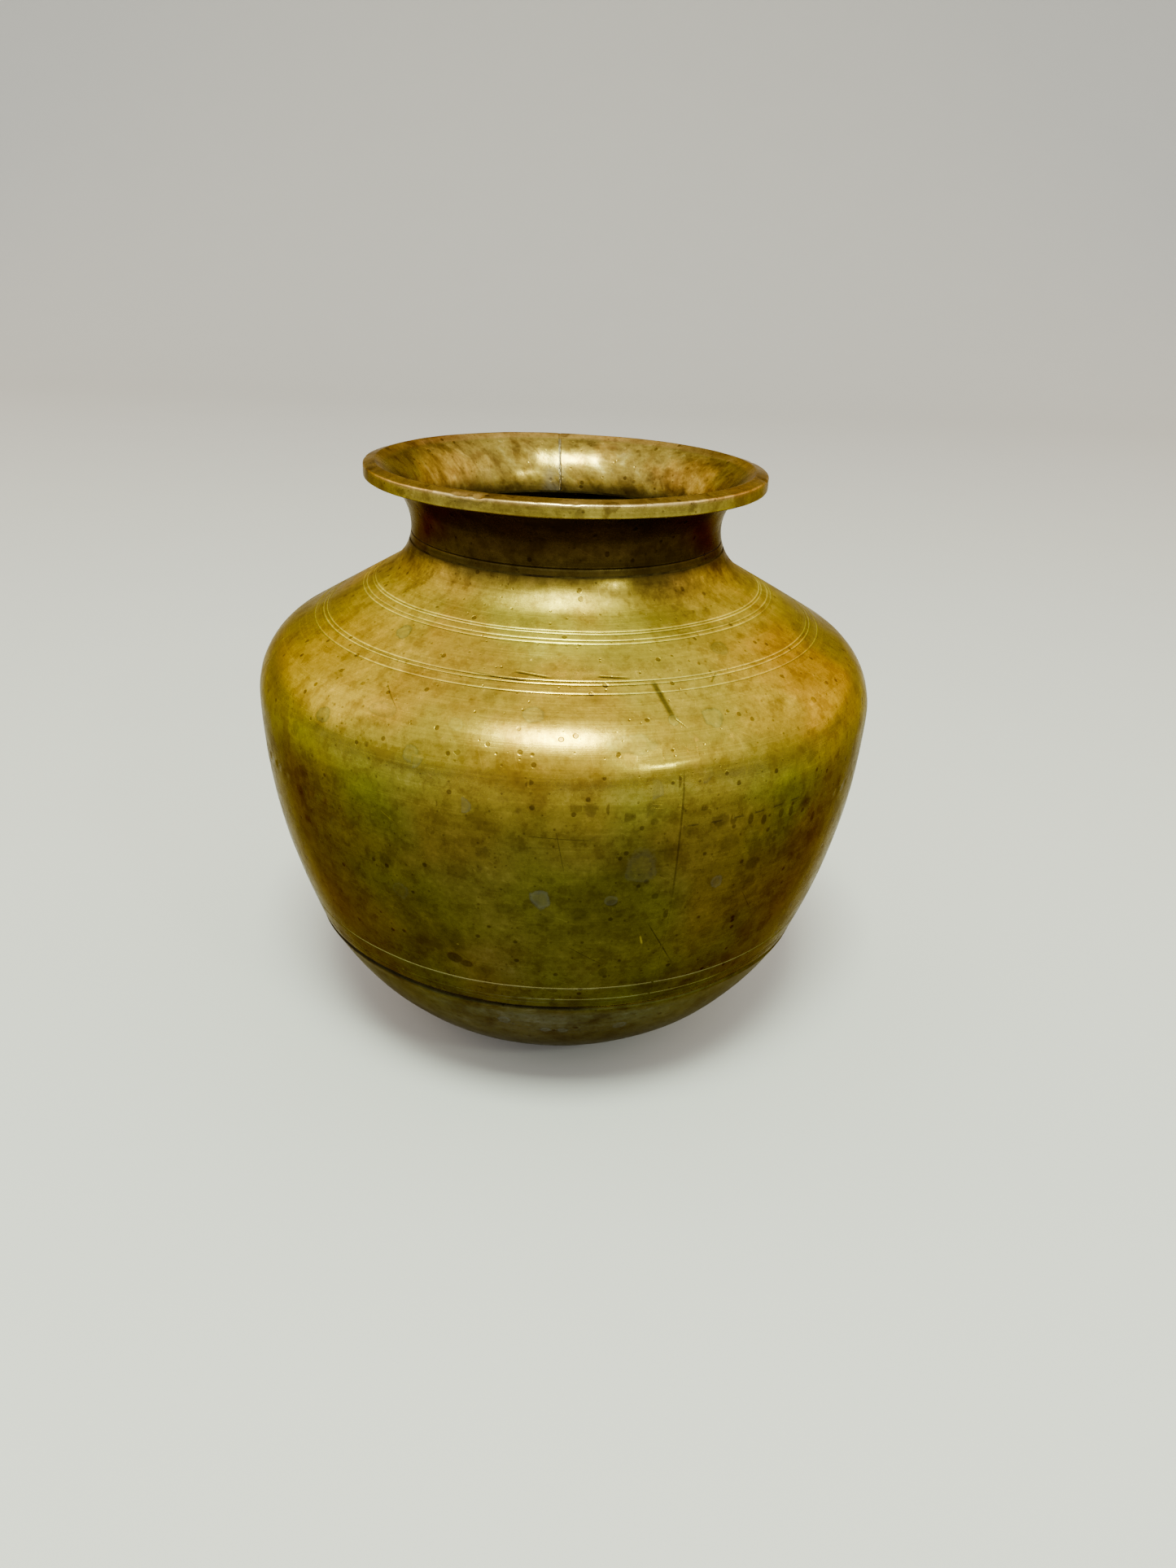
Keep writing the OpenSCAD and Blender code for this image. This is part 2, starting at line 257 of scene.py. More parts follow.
class Finish:
    """A surface: a Principled shader on the object's own coordinates, in metres. Old brass stays
    brownish in its glancing reflections too, so they have a tint."""

    def __init__(self, name, metallic=1.0):
        self.material = bpy.data.materials.new(name)
        self.material.use_nodes = True
        self.tree = self.material.node_tree
        self.shader = self.tree.nodes["Principled BSDF"]
        self.shader.inputs["Metallic"].default_value = metallic
        self.shader.inputs["Specular Tint"].default_value = (*EDGE_TINT, 1)
        self.place = self.node("ShaderNodeTexCoord", {}, [], "Object")
        split = self.node("ShaderNodeSeparateXYZ", {}, [self.place], None)
        self.x, self.y, self.z = [Wire(self, split.outputs[i]) for i in range(3)]
        self.radius = (self.x * self.x + self.y * self.y) ** 0.5
        self.grime = self.node("ShaderNodeAttribute", {"attribute_name": "grime"}, [], "Fac")
        walls_deep = self.node("ShaderNodeAttribute", {"attribute_name": "inside"}, [], "Fac")
        self.inside = walls_deep.above(0.35, 0.65)

    def node(self, kind, settings, values, out=0):
        """Adds a node, sets its settings, then gives its sockets their values or links, in order or
        by name. Returns one output, or the node itself where out is None."""
        node = self.tree.nodes.new(kind)
        for key, value in settings.items():
            if key == "stops":
                ramp = node.color_ramp
                for position, tone in value[1:-1]:
                    ramp.elements.new(position).color = (*tone, 1)
                for end in (0, -1):
                    ramp.elements[end].position = value[end][0]
                    ramp.elements[end].color = (*value[end][1], 1)
            else:
                setattr(node, key, value)
        pairs = values.items() if isinstance(values, dict) else enumerate(values)
        for key, value in pairs:
            if isinstance(value, Wire):
                self.tree.links.new(value.socket, node.inputs[key])
            else:
                node.inputs[key].default_value = value
        return node if out is None else Wire(self, node.outputs[out])

    def vector(self, operation, *values, out=0):
        """One Vector Math node."""
        return self.node("ShaderNodeVectorMath", {"operation": operation}, list(values), out)

    def mix(self, factor, first, second, blend="MIX"):
        """Mixes two colours, each a wire or three numbers."""
        colours = [c if isinstance(c, Wire) else (*c, 1) for c in (first, second)]
        values = {0: factor, 6: colours[0], 7: colours[1]}
        return self.node("ShaderNodeMix", {"data_type": "RGBA", "blend_type": blend}, values, 2)

    def noise(self, size, detail=4.0, rough=0.55, at=None):
        """Cloudy noise from 0 to 1 whose clouds are about one size across, in mm."""
        values = {"Vector": at or self.place, "Scale": 1 / (size * MM), "Detail": detail, "Roughness": rough}
        return self.node("ShaderNodeTexNoise", {}, values)

    def girdle(self, spacing, length=40.0, detail=3.0):
        """Fine lines that run round the pot, spacing mm apart and about length mm long. They are noise
        that is stretched along the circles of one height less radius, as turning leaves them."""
        squeeze = spacing / length
        flow = [self.x * squeeze, self.y * squeeze, self.z - self.radius]
        return self.noise(spacing, detail, 0.6, self.node("ShaderNodeCombineXYZ", {}, flow))

    def hairs(self, turn, width=0.45, stretch=0.03):
        """Hair scratches in one slanting direction: thin slices of noise, drawn out lengthwise."""
        turned_place = self.node("ShaderNodeVectorRotate", {"rotation_type": "EULER_XYZ"},
                                 {"Vector": self.place, "Rotation": turn})
        flow = self.vector("MULTIPLY", turned_place, (1, 1, stretch))
        return self.noise(width, 1.0, 0.5, flow).above(0.70, 0.76)

    def cells(self, size, reach, rare, wobble=0.0):
        """Scattered round marks, one to a cell of one size in mm and only in the rare ones. reach is
        the marks' half width over the cell, and rare the share of cells that stay empty."""
        near = self.node("ShaderNodeTexVoronoi", {}, {"Vector": self.place, "Scale": 1 / (size * MM)}, None)
        pick = self.node("ShaderNodeSeparateColor", {}, [Wire(self, near.outputs["Color"])])
        away = Wire(self, near.outputs["Distance"]) + wobble
        return away.above(reach, 0.6 * reach) * pick.above(rare, rare + 0.03), away

    def spot(self, azimuth, height, width, tall=None, depth=0.0):
        """Distance from a place on the wall, over the spot's half width: 1 on the rim of the spot."""
        half = width / 2 * MM
        away = self.vector("SUBTRACT", self.place, tuple(on_wall(azimuth, height, depth)))
        squash = self.vector("MULTIPLY", away, (1 / half, 1 / half, width / (tall or width) / half))
        return self.vector("LENGTH", squash, out="Value")

    def scratch(self, start, end, width):
        """A straight mark between two places on the outside, each an azimuth and a height: 1 along its
        middle, 0 beyond its width and behind the wall, and thinning to nothing at both ends."""
        first, last = on_wall(*start), on_wall(*end)
        along = last - first
        outward = Vector((first.x + last.x, first.y + last.y, 0)).normalized()
        side = along.cross(outward).normalized()
        forward = along / along.length_squared
        run = self.vector("DOT_PRODUCT", self.place, tuple(forward), out="Value") - first.dot(forward)
        off = self.vector("DOT_PRODUCT", self.place, tuple(side), out="Value") - first.dot(side)
        near = self.vector("DOT_PRODUCT", self.place, tuple(outward), out="Value") - first.dot(outward)
        line = off.math("ABSOLUTE").above(width / 2 * MM, 0.1 * width * MM)
        return line * run.above(0, 0.2) * run.above(1, 0.7) * near.above(-0.006, -0.004)

    def finish_with(self, colour, roughness, heights, metallic=None):
        """Links colour and roughness, and a chain of bumps, each a height and its depth in mm."""
        self.tree.links.new(colour.socket, self.shader.inputs["Base Color"])
        self.tree.links.new(roughness.socket, self.shader.inputs["Roughness"])
        if metallic:
            self.tree.links.new(metallic.socket, self.shader.inputs["Metallic"])
        normal = None
        for height, depth in heights:
            values = {"Strength": 1.0, "Distance": depth * MM, "Height": height}
            if normal:
                values["Normal"] = normal
            normal = self.node("ShaderNodeBump", {}, values)
        self.tree.links.new(normal.socket, self.shader.inputs["Normal"])
        return self.material


def on_wall(azimuth, height, depth=0.0):
    """The point at a direction and a height on the outside, or a depth under it, in metres."""
    radius, level, _, _ = wall_point(way_at(height), depth)
    turn = math.radians(azimuth)
    x = radius * math.cos(turn) + float(sway(level))
    return Vector((x, radius * math.sin(turn), level)) * MM


# The wall's colour by height in mm. The dish, the band and the shoulder darkened together, so one run of
# tones crosses all their joints: grey-green below, olive on the belly, gold on the shoulder, darker again
# towards the neck. Besides patina, the tones hold painted reflection: the grey-green base and the dark olive
# belly paint the dark surroundings they would reflect, and the gold shoulder paints a bright ceiling above.
CROWN = 140
WALL_TONES = [
    (0, (0.060, 0.064, 0.056)), (24, (0.064, 0.068, 0.060)), (32, (0.063, 0.065, 0.050)),
    (32.7, (0.054, 0.045, 0.010)), (35, (0.048, 0.042, 0.012)), (50, (0.060, 0.044, 0.008)),
    (66, (0.064, 0.050, 0.007)), (78, (0.080, 0.064, 0.008)), (84, (0.120, 0.100, 0.012)),
    (88.5, (0.235, 0.190, 0.026)), (92, (0.410, 0.315, 0.026)), (106, (0.470, 0.355, 0.032)),
    (112, (0.460, 0.345, 0.032)), (115.5, (0.290, 0.205, 0.024)), (118.5, (0.130, 0.088, 0.012)),
    (121, (0.100, 0.066, 0.010)),
]


def old_brass(name, tones, within, dull, stains=(), knocks=(), scratches=(), drift=4.0):
    """Old handled brass. The tones by height are drifted up and down in mm, then broken up by clouds
    that turn it greener or browner, blotches, pits, grey water spots, turning lines and scratches.
    within is the inner face's colour. Grey stains and the small dark knocks of a hammer or stone are
    (azimuth, height, width, tall, strength), and scratches are (start, end, width, tone), tones over 1
    being bright. Returns the finish, and the colour, roughness, bumps and metallic to end it with."""
    f = Finish(name)
    clouds = f.noise(22, 5.0, 0.62)
    hue = f.noise(38, 3.0, 0.5)
    mottle = f.noise(4.2, 6.0, 0.68)
    speckle = f.noise(1.5, 4.0, 0.65)
    grain = f.noise(0.7, 3.0, 0.6)
    lines = f.girdle(0.33)
    broad = f.girdle(1.5, 24.0)
    drifted = (clouds - 0.5) * (2 * drift / CROWN) + (mottle - 0.5) * (drift / CROWN)
    level = f.z * (1 / (CROWN * MM)) + drifted
    stops = [(height / CROWN, tone) for height, tone in tones]
    outer = f.node("ShaderNodeValToRGB", {"stops": stops}, [level])
    colour = f.mix(f.inside, outer, within)
    pits, _ = f.cells(2.6, 0.24, 0.80)
    fine_pits, _ = f.cells(1.1, 0.28, 0.88)
    blotches, _ = f.cells(6.5, 0.32, 0.50, (mottle - 0.5) * 0.9)
    water, away = f.cells(15, 0.15, 0.78, (mottle - 0.5) * 0.35)
    ash = water * (0.15 + 0.35 * away.above(0.08, 0.13))
    rims = water * away.above(0.10, 0.14)
    for azimuth, height, width, tall, strength in stains:
        reach = f.spot(azimuth, height, width, tall) + (mottle - 0.5) * 1.6
        ash = ash.or_else(reach.above(1.08, 0.88) * (0.55 + 0.45 * reach.above(0.5, 0.88)) * strength)
        rims = rims.or_else(reach.above(1.12, 0.98) * reach.above(0.82, 0.94) * strength)
    struck = pits.or_else(fine_pits * 0.7)
    for azimuth, height, width, tall, strength in knocks:
        reach = f.spot(azimuth, height, width, tall) + (mottle - 0.5) * 1.8
        struck = struck.or_else(reach.above(1.1, 0.7) * strength)
    high = f.z.above(0.082, 0.096)
    middle = f.z.above(0.056, 0.070)
    dish = f.z.above(0.036, 0.030)
    darkening = f.grime.above(0, 1)
    brightened = f.grime.above(0, -1)
    hairs = f.hairs((0.5, 0.25, 0.2)).or_else(f.hairs((-0.3, 1.1, -0.4))).or_else(f.hairs((1.45, 0.1, 0.3)))
    tints = [
        (hue.above(0.47, 0.60) * (0.80 - 0.65 * high - 0.55 * dish), (0.88, 1.04, 0.70)),
        (hue.above(0.50, 0.38) * (0.70 - 0.50 * dish), (1.08, 0.86, 0.75)),
        (clouds.above(0.47, 0.62) * 0.75, (0.62, 0.57, 0.48)),
        (clouds.above(0.45, 0.34) * 0.50, (1.25, 1.25, 1.30)),
        (mottle.above(0.49, 0.62) * 0.70, (0.62, 0.55, 0.48)),
        (mottle.above(0.46, 0.36) * 0.60, (1.36, 1.36, 1.60)),
        (speckle.above(0.51, 0.64) * 0.45, (0.66, 0.61, 0.55)),
        (speckle.above(0.45, 0.36) * 0.35, (1.28, 1.28, 1.40)),
        (grain.above(0.48, 0.70) * 0.35, (0.58, 0.56, 0.52)),
        (broad.above(0.50, 0.68) * 0.40, (0.72, 0.70, 0.66)),
        (lines.above(0.53, 0.68) * 0.35, (1.40, 1.42, 1.70)),
        (blotches * (0.35 + 0.40 * middle - 0.45 * high), (0.46, 0.41, 0.42)),
        (struck * 0.8, (0.34, 0.28, 0.22)),
        (hairs * 0.55, (1.45, 1.45, 1.8)),
    ]
    for amount, tint in tints:
        colour = f.mix(amount, colour, tint, "MULTIPLY")
    dim = f.mix(1.0, colour, (0.50, 0.55, 0.72), "MULTIPLY")
    colour = f.mix(ash * 0.80, colour, f.mix(0.20 - 0.15 * high, dim, (0.17, 0.18, 0.15)))
    colour = f.mix(rims * 0.5, colour, (0.55, 0.52, 0.50), "MULTIPLY")
    marks = None
    for start, end, width, tone in scratches:
        mark = f.scratch(start, end, width)
        colour = f.mix(mark * 0.9, colour, (tone, tone, tone * 1.1), "MULTIPLY")
        marks = mark if marks is None else marks.or_else(mark)
    # Marks above 0 darken the colour, for dirt and for painted shade; marks below 0 brighten it, for rubbed
    # metal and for painted glints and highlights.
    colour = f.mix(darkening * 0.92, colour, (0.14, 0.11, 0.09), "MULTIPLY")
    colour = f.mix(brightened * 0.85, colour, f.mix(1.0, colour, (2.3, 2.7, 4.5), "MULTIPLY"))
    flecks, _ = f.cells(6.5, 0.055, 0.90)
    colour = f.mix(flecks * 0.8, colour, (2.2, 2.3, 3.0), "MULTIPLY")
    uneven = 0.16 * clouds + 0.30 * mottle + 0.12 * lines + 0.08 * grain - 0.33
    rough = dull + uneven + 0.14 * ash + 0.35 * darkening
    metallic = 1.0 - 0.15 * ash - 0.15 * darkening
    heights = [(clouds, 0.06), (f.noise(6.5, 2.0), 0.045), (grain, 0.010), (lines, 0.008), (mottle, 0.02),
               (1 - struck, 0.04)]
    if marks is not None:
        heights.append((1 - marks, 0.04))
    return f, colour, rough, heights, metallic


def spaced(start, end, step, lines=(), line_w=0.5):
    """Rows about step mm apart from start to end, with extra rows across each engraved line."""
    rows = list(np.linspace(start, end, max(2, int(abs(end - start) / step) + 1)))
    for line in lines:
        rows += [line + line_w * k for k in (-0.75, -0.5, -0.25, -0.08, 0.08, 0.25, 0.5, 0.75)]
    return np.unique(np.round(rows, 4))


base_joint = way_at(BASE_JOINT_Z)
base_lap = base_joint + LAP
HALF_OUT, HALF_IN = (WALL - BRAZE) / 2, (WALL + BRAZE) / 2
AROUND = np.arange(0, 360, 0.75)
dish_rows = np.concatenate([np.linspace(0, FLAT_R - 1, 14), spaced(STARTS["bowl"], base_joint - 1.2, 1.0)])
lip_rows = base_joint + np.array([-0.9, -0.6, -0.35, -0.15, 0])


def window(around, start, end, fade=3.0):
    """1 between two directions, falling smoothly to 0 over the fade beyond each."""
    reach = np.abs((around - (start + end) / 2 + 180) % 360 - 180) - (end - start) / 2
    return np.clip(1 - reach / fade, 0, 1)


def joint_grime(around, way, depth):
    """Dirt in the joint's line: heavy left of the front, almost none at the right, some behind."""
    heavy = 0.30 + 0.60 * window(around, -150, -86, 8) - 0.30 * window(around, -78, -40, 8)
    return heavy * np.exp(-((way - base_joint) / 0.60) ** 2) * (depth < WALL / 2)


def rolled_edge(around, way, depth):
    """The dish's edge stands a little proud of the joint, and its corner is rubbed round."""
    swell = 0.22 * np.exp(-((way - base_joint + 0.9) / 1.1) ** 2)
    corner = 0.25 * np.clip((way - base_joint + 0.45) / 0.45, 0, 1) ** 2
    return (swell - corner) * (depth < 0.1)


dish_way, dish_depth = column(
    (dish_rows, 0), (lip_rows, 0), (np.linspace(base_joint + 0.02, base_lap, 6), HALF_IN),
    (spaced(STARTS["bowl"], base_lap, 1.6)[::-1], WALL), (np.linspace(FLAT_R - 1, 0, 10), WALL),
)
base_dish = turned("base_dish_metal", dish_way, dish_depth, AROUND, extra=rolled_edge,
                   grime=joint_grime)
DISH_STAINS = [
    (-101, 27, 3, 3, 0.7), (-92, 24, 2.5, 2.5, 0.8), (-88, 24, 2.5, 2.5, 0.8), (-75, 25, 3, 3, 0.6),
]
f, *look = old_brass("base_dish_brass", WALL_TONES, (0.050, 0.034, 0.010), 0.36, DISH_STAINS, drift=1.0)
base_dish.data.materials.append(f.finish_with(*look))
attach(base_dish, "root")
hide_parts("base_dish")

# ---- Base joint ------------------------------------------------------------------------------------
# The ring of brazing metal in the lap between base dish and belly band. It was filed back below the
# brass and has gone dark; at the front it has let go, and the joint stands open as a thin crack.
RING_SINK = 0.05


def crack(around):
    """How far the joint has opened, from 0 to 1: a long flat hill left of the front."""
    return np.exp(-((((around + 95 + 180) % 360 - 180) / 7.5) ** 4))


def sunk_crack(around, way, depth):
    """The ring's face has sunk half a millimetre where the joint is open."""
    return -0.5 * crack(around) * (depth < 0.5)


ring_way, ring_depth = column(
    ([base_joint, base_joint + BRAZE / 2, base_joint + BRAZE], RING_SINK),
    (np.linspace(base_joint + BRAZE, base_lap + BRAZE, 6), HALF_OUT),
    (base_lap + BRAZE, WALL), (base_lap, WALL),
    (np.linspace(base_lap, base_joint, 6), HALF_IN),
)


def ring_grime(around, way, depth):
    """The ring's face is black where the joint is dirty or cracked, and clean right of the front."""
    tone = 0.20 + 0.80 * window(around, -150, -86, 8) - 0.20 * window(around, -78, -40, 8)
    return tone * (depth < 0.5)


base_ring = turned("base_joint_braze", ring_way, ring_depth, AROUND, extra=sunk_crack, grime=ring_grime)
f, colour, *look = old_brass("base_joint_metal", WALL_TONES, (0.04, 0.025, 0.008), 0.42, drift=1.0)
yellower = f.mix(1.0, colour, (1.7, 1.25, 0.25), "MULTIPLY")
base_ring.data.materials.append(f.finish_with(yellower, *look))
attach(base_ring, "root")
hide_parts("base_braze")

# ---- Belly band ------------------------------------------------------------------------------------
# One strip of sheet wrapped into a ring and hammered out round. Its lower edge laps over the base
# dish, its upper edge is cut into long teeth that lock with the shoulder's, and one line runs low
# round it. The slot between its two ends is the upright seam's.
TEETH = 86
GIRTH_Z = 86.0
TOOTH_H = 12.0
SEAM_AZ = -71.0
SEAM_W = 0.4
LOW_LINE_Z = 40.2
CHATTER_Z = (35.6, 36.6)
tooth_low, tooth_high = way_at(GIRTH_Z - TOOTH_H / 2), way_at(GIRTH_Z + TOOTH_H / 2)
belly_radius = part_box("belly_shell")[1].x / MM
half_pitch = 180 / TEETH
half_tooth = (half_pitch - math.degrees(BRAZE / belly_radius)) / 2
half_notch = half_pitch - half_tooth
SIDE = 0.0005
seam_half = math.degrees(SEAM_W / 2 / belly_radius)


def tooth_columns(offsets):
    """Directions of the columns: the same offsets from the middle of every tooth, in degrees."""
    return (SEAM_AZ + 2 * half_pitch * np.arange(TEETH)[:, None] + np.array(offsets)).ravel()


def off_tooth(azimuth):
    """How far a direction is from the middle of the nearest tooth of the belly, in degrees."""
    return np.abs((azimuth - SEAM_AZ + half_pitch) % (2 * half_pitch) - half_pitch)


def stretch_to(rows, fixed, edge, end):
    """Rows as they are as far as the fixed one, and from there stretched so that the row at end
    comes to lie on an edge that differs from column to column."""
    rows = rows[:, None]
    stretched = fixed + (rows - fixed) * (edge - fixed) / (end - fixed)
    return np.where((rows - fixed) * (end - fixed) <= 0, rows, stretched)


def both_sides(offsets):
    """Offsets from a tooth's middle to the next notch's, and back again up to the next tooth."""
    return offsets + [2 * half_pitch - offset for offset in offsets[-2:0:-1]]


band_az = tooth_columns(both_sides([0, half_tooth, half_tooth + SIDE, half_pitch]))
band_az = np.concatenate([[SEAM_AZ + seam_half], band_az[1:], [SEAM_AZ + 360 - seam_half]])
belly_edge = np.where(off_tooth(band_az) < half_tooth + SIDE / 2, tooth_high - BRAZE, tooth_low)[None, :]
low_line = way_at(LOW_LINE_Z)
chatter_lines = [way_at(height) for height in CHATTER_Z]
belly_bottom = base_joint + BRAZE
outer_rows = spaced(belly_bottom + 0.8, tooth_high - BRAZE, 0.9, [low_line, *chatter_lines], 0.4)
inner_rows = spaced(base_lap + BRAZE, tooth_high - BRAZE, 2.0)[::-1]
band_way = np.concatenate([
    np.broadcast_to(belly_bottom + np.array([0, 0.1, 0.3, 0.5])[:, None], (4, len(band_az))),
    stretch_to(outer_rows, tooth_low - 4, belly_edge, tooth_high - BRAZE),
    stretch_to(inner_rows, tooth_low - 4, belly_edge, tooth_high - BRAZE),
    np.broadcast_to(np.linspace(base_lap + BRAZE - 0.01, belly_bottom, 4)[:, None], (4, len(band_az))),
])
band_depth = np.concatenate([
    np.full(4 + len(outer_rows), 0.0), np.full(len(inner_rows), WALL), np.full(4, HALF_OUT)
])[:, None]


def engraved(lines, width, deep):
    """A V cut into the outside at each line: full depth in the middle, none at half the width."""
    def cut(around, way, depth):
        """The cuts' depth, as the outward swell of a point: negative."""
        slopes = [np.clip(1 - np.abs(way - line) / (width / 2), 0, 1) for line in lines]
        return -deep * sum(slopes) * (depth < 0.1)
    return cut


def belly_marks(around, way, depth):
    """The low line, two chatter lines under it, and the lower edge, rubbed round and sprung out a
    little where the joint has cracked."""
    cut = engraved([low_line], 0.45, 0.14)(around, way, depth)
    cut = cut + engraved(chatter_lines, 0.4, 0.06)(around, way, depth)
    cut = cut - 0.18 * np.clip(1 - (way - belly_bottom) / 0.35, 0, 1) ** 2 * (depth < 0.1)
    return cut + 0.12 * crack(around) * np.exp(-((way - belly_bottom) / 2.5) ** 2)


def belly_grime(around, way, depth):
    """Dark in the lower edge left of the front, rubbed bright along it right of the front, and the
    low line bright all round."""
    edge = np.exp(-((way - belly_bottom - 0.1) / 0.35) ** 2)
    brightened = window(around, -80, -58, 6)
    dark = edge * (0.15 + 0.65 * window(around, -140, -86, 6)) * (1 - brightened)
    chatter = np.exp(-((way - chatter_lines[1]) / 0.22) ** 2)
    bright = edge * 1.1 * brightened + chatter * 0.7 * window(around, -92, -56, 10)
    line = np.exp(-((way - low_line) / 0.20) ** 2) * (0.9 + 0.1 * np.cos(np.radians(3 * around)))
    return np.clip(dark - bright - line, -1, 1) * (depth < 0.1)


belly = turned("belly_band", band_way, band_depth, band_az, closed=False, extra=belly_marks,
               grime=belly_grime)
BELLY_STAINS = [
    (-76, 88.6, 4, 4, 0.45), (-67.5, 90.5, 4, 4.5, 0.4), (-81.5, 64.6, 2.5, 2.5, 0.45),
    (-93, 64.8, 4, 4.5, 0.8), (-105, 84, 3, 3, 0.6), (-77, 72, 7, 8, 0.22), (-113.5, 91, 3, 3, 0.9),
    (-63, 66, 3, 3, 0.5),
]
BELLY_KNOCKS = [
    (-72, 89.7, 1.8, 3.4, 0.9), (-65, 81, 1.5, 2.6, 0.9), (-61.5, 80, 1.4, 2.4, 0.8),
    (-58, 79, 1.4, 2.8, 0.9), (-55, 78, 1.5, 2.6, 1.0), (-51, 78, 1.4, 2.4, 0.8),
    (-48.5, 77.5, 1.3, 2.4, 0.8), (-41.5, 73.6, 1.5, 3, 0.8), (-110.2, 83.4, 2.2, 2.2, 0.8),
    (-94.8, 89.4, 2.6, 1.8, 0.9), (-88, 85.3, 4.4, 1.8, 0.6), (-80, 83.2, 4.6, 1.9, 0.7),
    (-82.8, 84.9, 0.9, 2.2, 0.8), (-75.5, 81.9, 1.8, 1.6, 0.6), (-72.5, 84.7, 2.2, 1.6, 0.7),
    (-67.2, 83.6, 2, 1.6, 0.7), (-80.5, 74.3, 1.1, 1.1, 1.0), (-75.8, 68.5, 1.3, 1.3, 0.9),
    (-61.8, 74.7, 5, 4, 0.5), (-81.2, 63.9, 2.4, 1.8, 0.8), (-74, 64.8, 1.6, 1.6, 0.7),
    (-71.5, 59.7, 1.3, 2.6, 0.8), (-81.5, 45.2, 2, 3, 0.6), (-98.8, 61.6, 5, 3, 0.4),
    (-108.8, 46, 3.4, 2.6, 1.0), (-106.5, 45, 3, 2, 0.9),
]
BELLY_SCRATCHES = [
    ((-74.8, 58.5), (-67.8, 45), 0.40, 0.35), ((-75.6, 55.0), (-74.9, 52.2), 0.60, 4.0),
    ((-79, 86.2), (-59, 82.4), 0.26, 1.9), ((-78, 85.2), (-64, 82.9), 0.20, 1.7),
    ((-91, 82.5), (-89, 70), 0.25, 0.5), ((-96, 79), (-84, 78.4), 0.20, 0.5),
    ((-88.5, 53), (-81, 47), 0.20, 0.5), ((-120, 79), (-117, 77), 0.4, 2.0),
    ((-57, 62), (-53, 55), 0.2, 0.5),
]
f, colour, *look = old_brass("belly_brass", WALL_TONES, (0.060, 0.038, 0.010), 0.27, BELLY_STAINS,
                             BELLY_KNOCKS, BELLY_SCRATCHES)
bare = f.mix(f.grime.above(-0.40, -0.95) * 0.45, colour, (0.30, 0.25, 0.09))
belly.data.materials.append(f.finish_with(bare, *look))
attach(belly, "root")
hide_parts("belly_shell")

# ---- Belly seam ------------------------------------------------------------------------------------
# The upright run of brazing metal that closes the belly band, right of the front. It was filed flush
# and has toned in with the brass, apart from a fine dark line over the upper belly.
seam_az = SEAM_AZ + np.linspace(-seam_half, seam_half, 5)
seam_way, seam_depth = column(
    (np.linspace(belly_bottom, tooth_high - BRAZE, 60), 0.02),
    (np.linspace(tooth_high - BRAZE, base_lap + BRAZE, 30), WALL),
    (np.linspace(base_lap + BRAZE - 0.01, belly_bottom, 4), HALF_OUT),
)
belly_seam = turned("belly_seam", seam_way, seam_depth, seam_az, closed=False)
f, colour, *look = old_brass("belly_seam_metal", WALL_TONES, (0.04, 0.025, 0.008), 0.30)
shown = f.z.above(0.060, 0.070) * f.z.above(0.094, 0.089)
colour = f.mix(shown * 0.55, colour, (0.3, 0.25, 0.2), "MULTIPLY")
belly_seam.data.materials.append(f.finish_with(colour, *look))
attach(belly_seam, "root")
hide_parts("belly_seam_braze")

# ---- Girth joint -----------------------------------------------------------------------------------
# The brazing metal that winds up and down between the teeth of belly and shoulder. Hammered and filed
# with them, it lies flush and has almost the brass's own tone.
wind = [0, half_tooth - SIDE, half_tooth, half_notch, half_notch + SIDE, half_pitch]
wind_az = tooth_columns(both_sides(wind))
tooth_off = off_tooth(wind_az)
on_tooth, on_notch = tooth_off < half_tooth - SIDE / 2, tooth_off > half_notch + SIDE / 2
wind_low = np.where(on_tooth, tooth_high - BRAZE, tooth_low)
wind_high = np.where(on_notch, tooth_low + BRAZE, tooth_high)
OUTER_STEPS = 15
climb = np.linspace(0, 1, OUTER_STEPS)
share = np.concatenate([climb, climb[::-2]])[:, None]
wind_way = wind_low[None, :] + share * (wind_high - wind_low)[None, :]
wind_depth = np.concatenate([np.zeros(OUTER_STEPS), np.full(len(climb[::-2]), WALL)])[:, None]


def root_grime(around, way, depth):
    """Right of the front the brazing metal has pitted at the feet of the shoulder's teeth."""
    foot = np.exp(-((way - tooth_low) / 1.3) ** 2) * (off_tooth(around) > half_notch - SIDE)
    return 0.55 * foot * window(around, -69, -46, 4) * (depth < 0.1)


girth = turned("girth_joint_braze", wind_way, wind_depth, wind_az, grime=root_grime)
f, *look = old_brass("girth_joint_metal", WALL_TONES, (0.05, 0.03, 0.008), 0.27)
girth.data.materials.append(f.finish_with(*look))
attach(girth, "root")
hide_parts("girth_braze")

# ---- Shoulder --------------------------------------------------------------------------------------
# A dome raised from one disc, turned up in the middle to carry the neck. Two bands of lines were cut
# into its slope while the pot turned; the inner lines are still clean, some of the outer are worn.
OUTER_BAND, OUTER_LINES = 5.8, (0, 2.2, 3.1)
INNER_BAND, INNER_LINES = 18.4, (0, 0.95, 2.55, 3.2)
NECK_JOINT_DROP = 3.3
neck_narrow = STARTS["neck"] + NECK_R * math.radians(SHOULDER_TURN)
neck_joint = neck_narrow - NECK_R * math.asin(NECK_JOINT_DROP / NECK_R)
neck_lap = neck_joint + LAP
outer_lines = [STARTS["slope"] + OUTER_BAND + d for d in OUTER_LINES]
inner_lines = [STARTS["slope"] + INNER_BAND + d for d in INNER_LINES]
dome_az = tooth_columns(both_sides([0, half_notch - SIDE, half_notch, half_pitch]))
dome_edge = np.where(off_tooth(dome_az) > half_notch - SIDE / 2, tooth_low + BRAZE, tooth_high)[None, :]
dome_rows = spaced(tooth_low + BRAZE, neck_joint - BRAZE, 1.0, outer_lines + inner_lines)
dome_inner = spaced(tooth_low + BRAZE, neck_lap - BRAZE, 2.4)[::-1]
turn_end = tooth_high + 5
